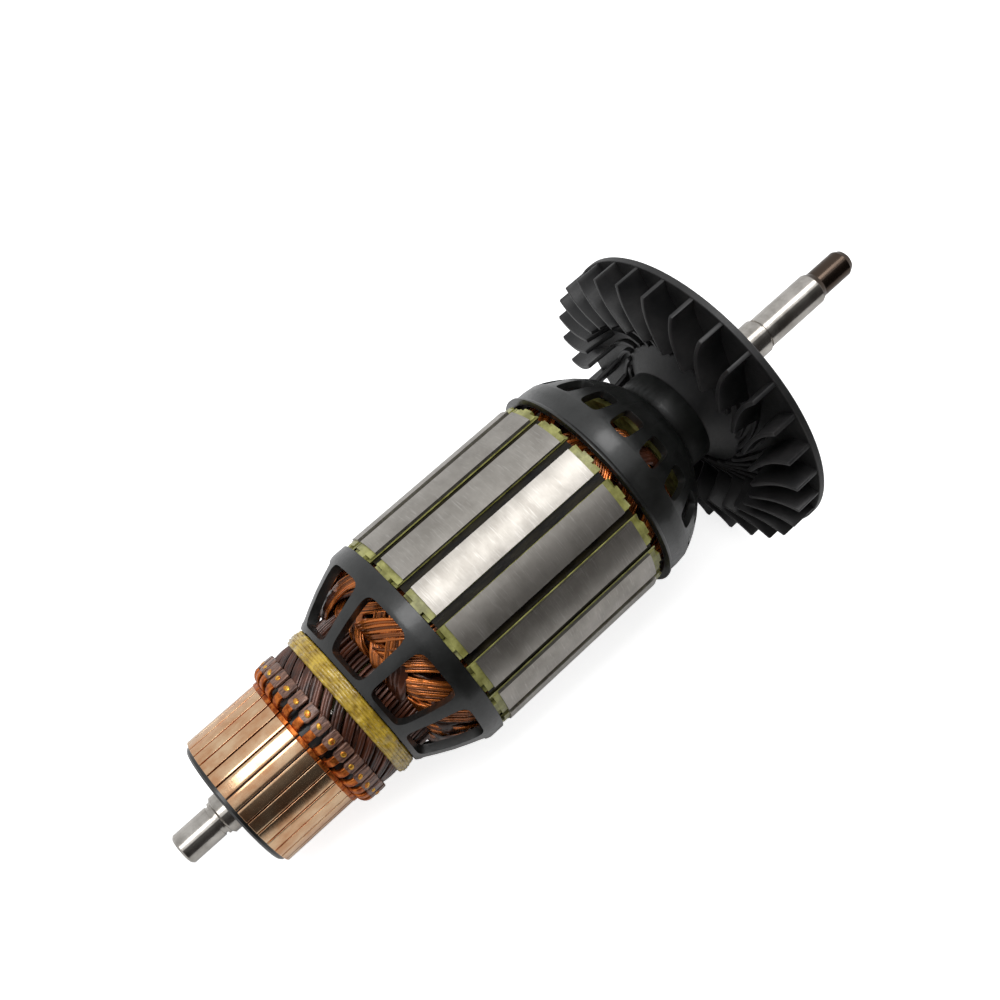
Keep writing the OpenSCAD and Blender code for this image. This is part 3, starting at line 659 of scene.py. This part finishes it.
def cage_skin(dome, window, sectors, first_angle, half_window, roundness, foot, head):
    """A cage's whole outer skin: its sectors, then plain bands through (r, z) places beyond the
    dome's start (foot) and end (head)."""
    sector = window_sector(dome, window, 180 / sectors, half_window, roundness)
    bm = bmesh.new()
    for i in range(sectors):
        take_in(bm, sector, first_angle + i * 360 / sectors)
    bmesh.ops.remove_doubles(bm, verts=bm.verts, dist=0.01)
    for start_z, band in ((dome[0].y, foot), (dome[-1].y, head)):
        edges = [e for e in bm.edges if e.is_boundary and all(abs(v.co.z - start_z) < 0.01 for v in e.verts)]
        for r, z in band:
            made = bmesh.ops.extrude_edge_only(bm, edges=edges)["geom"]
            edges = [g for g in made if isinstance(g, bmesh.types.BMEdge)]
            for vert in (g for g in made if isinstance(g, bmesh.types.BMVert)):
                flat = Vector((vert.co.x, vert.co.y)).normalized() * r
                vert.co = (*flat, z)
    bmesh.ops.recalc_face_normals(bm, faces=bm.faces)
    # the widest face tells whether the open skin came out facing inwards
    widest = max(bm.faces, key=lambda f: f.calc_center_median().xy.length)
    if widest.normal.dot(Vector((*widest.calc_center_median().xy, 0))) < 0:
        bmesh.ops.reverse_faces(bm, faces=bm.faces)
    return bm


def cage(skin, name, node, wall, edge):
    """Gives a cage's outer skin its wall and rounded edges."""
    obj = piece(skin, name, [PHENOLIC], [node], crease=180)
    thick = obj.modifiers.new("wall", "SOLIDIFY")
    thick.thickness = wall * MM
    thick.offset = -1
    soft = obj.modifiers.new("soft_edges", "BEVEL")
    soft.width = edge * MM
    soft.segments = 4
    soft.limit_method = "ANGLE"
    soft.angle_limit = math.radians(50)
    soft.harden_normals = True


def cages():
    """The front cage with its ribs, and the rear one with its hoop, windows and collar."""
    (_, collar_z), (_, ring_z), _ = FRONT_DOME
    ring = [(CORE_R - 0.08, ring_z + 0.7), (CORE_R, ring_z + 1.3), (CORE_R, FRONT_RING_END - 1.6),
            (CORE_R, FRONT_RING_END)]
    front = cage_skin(
        FRONT_CURVE, (FRONT_COLLAR / (ring_z - collar_z), FRONT_WINDOW_END), FRONT_RIBS,
        RIB_ANGLE + 180 / FRONT_RIBS, lambda r: math.radians(180 / FRONT_RIBS) * r - FRONT_RIB_WIDTH / 2,
        FRONT_ROUNDNESS, [], ring)
    cage(front, "front_winding_cage", "front_cage", FRONT_WALL, FRONT_EDGE)

    ends = [sum(p.y < z for p in REAR_CURVE) / len(REAR_CURVE) for z in REAR_WINDOW_Z]
    hoop = [(CORE_R, HOOP_Z + 4), (CORE_R, HOOP_Z + 1.2), (CORE_R + 0.1, HOOP_Z + 1.0),
            (LIP_R - 0.05, HOOP_Z + 0.5), (LIP_R, HOOP_Z)]
    _, (collar_r, collar_z), _ = REAR_DOME
    collar = [(collar_r - 0.1, collar_z + 0.8), (collar_r, collar_z + 1.6), (collar_r, COLLAR_END)]
    rear = cage_skin(REAR_CURVE, ends, REAR_WINDOWS, WINDOW_ANGLE, lambda r: REAR_WINDOW_WIDTH / 2,
                     REAR_ROUNDNESS, hoop, collar)
    cage(rear, "rear_winding_cage", "rear_cage", REAR_WALL, REAR_EDGE)


# ---------------------------------------------------------------- fan
HUB_FACE = arc((BLADE_INNER_R, PLATE_Z[0]), (FAN_NECK_R, FAN_Z), FAN_DISH_R, 40)


def hub_z(r):
    """Where the hollow hub's face lies at radius r."""
    return min(HUB_FACE, key=lambda p: abs(p.x - r)).y if r < BLADE_INNER_R else PLATE_Z[0]


def blade():
    """One blade: tall at the rim, curling and sinking into a low vane on the hub."""
    bm = bmesh.new()
    stations = 22
    foot, tops = [], []
    for i in range(stations):
        r = lerp(BLADE_R, VANE_END_R, i / (stations - 1))
        inwards = (BLADE_R - r) / (BLADE_R - BLADE_INNER_R)
        lean = BLADE_SWEEP * inwards ** 2.6
        foot.append(bm.verts.new(at(r, BLADE_ANGLE + lean, hub_z(r) + BLADE_FOOT)))
        tall = BLADE_Z - BLADE_RISE * inwards
        # from full height at the inner radius to a vane's height 1.5 mm farther in
        sink = max(0.0, min(1.0, (BLADE_INNER_R - r) / 1.5))
        tops.append(lerp(tall, hub_z(r) - VANE_HEIGHT, sink * sink * (3 - 2 * sink)))
    edges = [bm.edges.new(pair) for pair in zip(foot, foot[1:])]
    made = bmesh.ops.extrude_edge_only(bm, edges=edges)["geom"]
    crest = sorted((g for g in made if isinstance(g, bmesh.types.BMVert)), key=lambda v: -v.co.xy.length)
    for vert, z in zip(crest, tops):
        vert.co.z = z
    bmesh.ops.recalc_face_normals(bm, faces=bm.faces)
    bm.normal_update()
    # half the wall goes to each side of the blade's line
    for vert in bm.verts:
        vert.co += vert.normal * BLADE_WALL / 2
    bmesh.ops.solidify(bm, geom=bm.faces[:], thickness=BLADE_WALL)
    round_edges(bm, BLADE_EDGE, 2)
    return bm


def fan():
    """The back plate, boss and hollow hub turned in one, with the blades set on them."""
    behind, before = 0.3, 0.15
    body = [(BORE_R, FAN_BOSS_Z), (FAN_BOSS_R, FAN_BOSS_Z), (FAN_BOSS_R, PLATE_Z[1]),
            (PLATE_R - behind, PLATE_Z[1]), (PLATE_R, PLATE_Z[1] - behind),
            (PLATE_R, PLATE_Z[0] + before), (PLATE_R - before, PLATE_Z[0])]
    bm = turned(body + [tuple(p) for p in HUB_FACE[::4]] + [(BORE_R, FAN_Z)], 8 * BLADES)
    shape = blade()
    for i in range(BLADES):
        take_in(bm, shape, i * 360 / BLADES)
    piece(bm, "cooling_fan", [NYLON], ["fan"], crease=32)


def dress_solids():
    """The CAD solids that keep their own shape get their finish."""
    for name, material in {"shaft": STEEL, "core": LAMINATIONS, "shaft_sleeve": FIBRE,
                           "front_end_plate": FIBRE, "rear_end_plate": FIBRE, "slot_liners": FIBRE,
                           "slot_wedges": WEDGE, "commutator_hub": PHENOLIC}.items():
        mesh = frame["nodes"][name].data
        mesh.materials.clear()
        mesh.materials.append(material)


# ---------------------------------------------------------------- camera, floor and light
# In the shaft's own frame: the camera's place in mm, and the ways behind it and to its right
LENS = 42.85
CAMERA_PLACE = (285.7, -12.3, -53.0)
CAMERA_BACK = (0.9766, 0.0, -0.2150)
CAMERA_RIGHT = (0.1617, 0.6590, 0.7345)


def camera():
    """Looks down on the armature from beside its commutator end."""
    data = bpy.data.cameras.new("camera")
    data.lens = LENS
    data.sensor_width = 36
    data.clip_start = 0.01
    obj = bpy.data.objects.new("camera", data)
    bpy.context.scene.collection.objects.link(obj)
    back = (AXES @ Vector(CAMERA_BACK)).normalized()
    right = AXES @ Vector(CAMERA_RIGHT)
    right = (right - back * right.dot(back)).normalized()
    turn = Matrix((right, back.cross(right), back)).transposed()
    obj.matrix_world = Matrix.Translation(LAID @ Vector(CAMERA_PLACE)) @ turn.to_4x4()
    bpy.context.scene.camera = obj


def softbox(name, place, size, power):
    """A rectangular lamp at a place counted from the core's middle, turned towards it."""
    data = bpy.data.lights.new(name, "AREA")
    data.shape = "RECTANGLE"
    data.size, data.size_y = size
    data.energy = power
    obj = bpy.data.objects.new(name, data)
    bpy.context.scene.collection.objects.link(obj)
    place = core_middle + Vector(place)
    way = core_middle - place
    obj.matrix_world = Matrix.Translation(place) @ way.to_track_quat("-Z", "Y").to_matrix().to_4x4()


def sheet(name, width, depth, place, turn):
    """A flat rectangle of the studio, which isn't part of the armature, and its shader nodes."""
    bm = bmesh.new()
    bmesh.ops.create_grid(bm, x_segments=1, y_segments=1, size=0.5,
                          matrix=Matrix.Translation(place) @ turn @ Matrix.Diagonal((width, depth, 1, 1)))
    mesh = bpy.data.meshes.new(name)
    bm.to_mesh(mesh)
    bm.free()
    obj = bpy.data.objects.new(name, mesh)
    bpy.context.scene.collection.objects.link(obj)
    material = bpy.data.materials.new(name)
    material.use_nodes = True
    mesh.materials.append(material)
    return obj, material.node_tree


# In metres, and in watts for the lamp
TABLE_SIZE = 3
TABLE_GLOW = 0.8
CARD_SIZE = (0.35, 0.9)
CARD_AWAY = 0.2
CARD_Z = 0.19
ROOM_STRENGTH = 0.75
LAMP_PLACE = (0.0, 0.0, 0.75)
LAMP_SIZE = (0.9, 0.26)
LAMP_POWER = 2.8


def studio():
    """A white table under an even white room, a lamp overhead and a dark card at the near side."""
    _, tree = sheet("white_table", TABLE_SIZE, TABLE_SIZE, (0, 0, 0), Matrix())
    shader = tree.nodes["Principled BSDF"]
    shader.inputs["Base Color"].default_value = linear("#e6e6e6")
    shader.inputs["Roughness"].default_value = 0.9
    shader.inputs["Emission Color"].default_value = (1, 1, 1, 1)
    # the camera sees the table a little brighter than it lights the armature
    seen = add(tree, "LightPath")
    glow = add(tree, "Math", {0: seen.outputs["Is Camera Ray"], 1: TABLE_GLOW}, operation="MULTIPLY")
    tree.links.new(glow.outputs[0], shader.inputs["Emission Strength"])

    # what stands at the near side of the table darkens the lower bars, teeth and mouldings
    near = (spoke(UP_ANGLE + 90) * CARD_AWAY).xy
    heading = Matrix.Rotation(math.atan2(near.y, near.x), 4, "Z")
    upright = heading @ Matrix.Rotation(math.pi / 2, 4, "Y")
    card, tree = sheet("dark_card", *CARD_SIZE, (*(core_middle.xy + near), CARD_Z), upright)
    card.visible_camera = False
    tree.nodes["Principled BSDF"].inputs["Base Color"].default_value = linear("#2a2624")

    world = bpy.data.worlds.new("white_room")
    bpy.context.scene.world = world
    world.use_nodes = True
    sky = world.node_tree.nodes["Background"]
    sky.inputs["Color"].default_value = linear("#f4f5f6")
    sky.inputs["Strength"].default_value = ROOM_STRENGTH
    bpy.context.scene.view_settings.view_transform = "Standard"
    softbox("overhead", LAMP_PLACE, LAMP_SIZE, LAMP_POWER)


dress_solids()
commutator()
windings()
cord_band()
cages()
fan()
camera()
studio()
